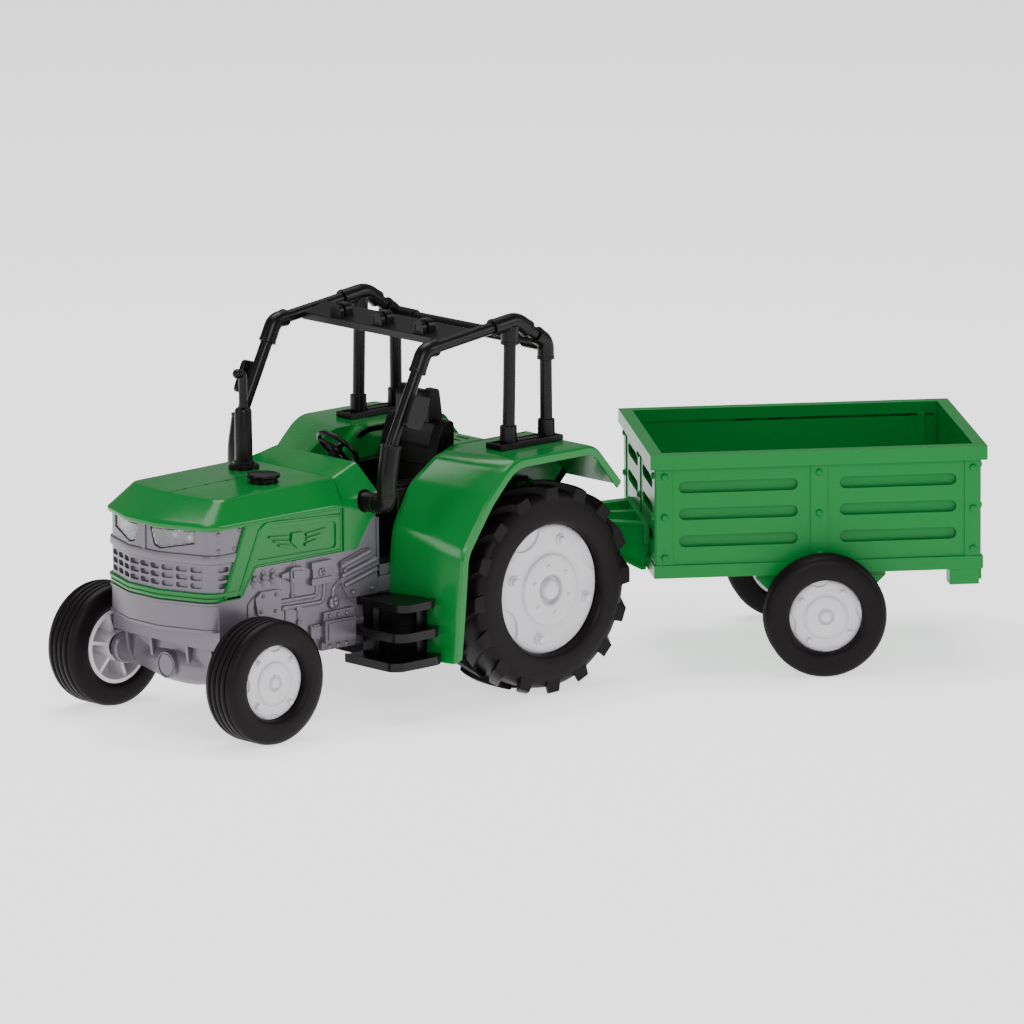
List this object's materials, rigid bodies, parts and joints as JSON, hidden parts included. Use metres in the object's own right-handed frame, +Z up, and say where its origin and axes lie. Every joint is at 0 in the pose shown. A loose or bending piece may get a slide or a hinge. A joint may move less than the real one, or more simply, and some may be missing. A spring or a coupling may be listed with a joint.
{
  "type": "toy tractor",
  "caption": "Toy farm tractor with an open roll cage, towing an open-topped two-wheeled trailer on a hitch pin.",
  "frame": {"origin": "middle of the whole toy's box, on the floor, with the trailer turned on its hitch as stored", "axes": "+X from the tractor's nose to its tail, +Y to the tractor's right-hand side as drawn (exhaust side), +Z up"},
  "size_m": [0.33, 0.185, 0.1328],
  "materials": {
    "green_plastic": "glossy moulded green plastic",
    "grey_plastic": "satin moulded grey plastic",
    "black_plastic": "satin moulded black plastic",
    "tyre_rubber": "matt black tyre compound",
    "rim_plastic": "smooth off-white moulded plastic",
    "clear_plastic": "clear moulded lens",
    "reflector": "vacuum-metallised reflector",
    "led": "clear white LED body",
    "axle_steel": "plain drawn steel",
    "screw_steel": "zinc-plated steel",
    "spring_steel": "spring wire",
    "battery_steel": "nickel-plated steel cell cans",
    "circuit_board": "glass-fibre board with green resist",
    "speaker_black": "speaker basket and cone"
  },
  "bodies": {
    "tractor": {"base_plate": "grey_plastic", "base_screws": "screw_steel", "battery_cells": "battery_steel", "battery_door": "grey_plastic", "button_spring": "spring_steel", "cab_floor": "black_plastic", "cage_cross_tube": "black_plastic", "chassis": "grey_plastic", "dash_cowl": "green_plastic", "dashboard": "black_plastic", "exhaust_stack": "black_plastic", "fender_body": "green_plastic", "front_axle_beam": "grey_plastic", "grille": "grey_plastic", "headlamp_leds": "led", "headlamp_lens_left": "clear_plastic", "headlamp_lens_right": "clear_plastic", "headlamp_reflectors": "reflector", "hitch_bracket": "grey_plastic", "hitch_pin": "grey_plastic", "hood": "green_plastic", "light_bar": "black_plastic", "mirror_left": "black_plastic", "mirror_right": "black_plastic", "roll_cage_left": "black_plastic", "roll_cage_right": "black_plastic", "roof_lamps": "black_plastic", "seat": "black_plastic", "sound_board": "circuit_board", "speaker": "speaker_black", "steering_column": "black_plastic", "step_left": "black_plastic", "step_right": "black_plastic"},
    "rear_wheels": {"rear_axle": "axle_steel", "rear_rim_left": "rim_plastic", "rear_rim_right": "rim_plastic", "rear_tyre_left": "tyre_rubber", "rear_tyre_right": "tyre_rubber"},
    "front_wheels": {"front_axle": "axle_steel", "front_rim_left": "rim_plastic", "front_rim_right": "rim_plastic", "front_tyre_left": "tyre_rubber", "front_tyre_right": "tyre_rubber"},
    "steering": {"steering_wheel": "black_plastic"},
    "push_button": {"button_cap": "black_plastic"},
    "trailer": {"trailer_bed": "green_plastic", "trailer_drawbar": "green_plastic", "trailer_axle_bracket": "green_plastic", "trailer_screws": "screw_steel", "tailgate_pin": "axle_steel"},
    "gate": {"tailgate": "green_plastic"},
    "trailer_wheels": {"trailer_axle": "axle_steel", "trailer_rim_left": "rim_plastic", "trailer_rim_right": "rim_plastic", "trailer_tyre_left": "tyre_rubber", "trailer_tyre_right": "tyre_rubber"}
  },
  "joints": [
    {"name": "rear_axle_spin", "type": "hinge", "parent": "tractor", "child": "rear_wheels", "pos_m": [-0.02461, 0.03546, 0.037], "axis": [0, 1, 0], "continuous": true},
    {"name": "front_axle_spin", "type": "hinge", "parent": "tractor", "child": "front_wheels", "pos_m": [-0.14361, 0.03546, 0.0214], "axis": [0, 1, 0], "continuous": true},
    {"name": "steering_turn", "type": "hinge", "parent": "tractor", "child": "steering", "pos_m": [-0.07341, 0.03546, 0.0861], "axis": [0.7295, 0, 0.6839], "continuous": true},
    {"name": "button_press", "type": "slide", "parent": "tractor", "child": "push_button", "axis": [0, 0, -1], "range_m": [0, 0.0011], "stiffness_N_per_m": 400, "deforming": ["button_spring"]},
    {"name": "trailer_swing", "type": "hinge", "parent": "tractor", "child": "trailer", "pos_m": [0.00939, 0.03546, 0.047], "axis": [0, 0, 1], "range_deg": [-6.7, 77.3]},
    {"name": "trailer_axle_spin", "type": "hinge", "parent": "trailer", "child": "trailer_wheels", "pos_m": [0.09239, -0.02331, 0.0214], "axis": [0.5779, 0.8161, 0], "continuous": true},
    {"name": "tailgate_fold", "type": "hinge", "parent": "trailer", "child": "gate", "pos_m": [0.13712, -0.05497, 0.0406], "axis": [0.5779, 0.8161, 0], "range_deg": [0, 90]}
  ]
}
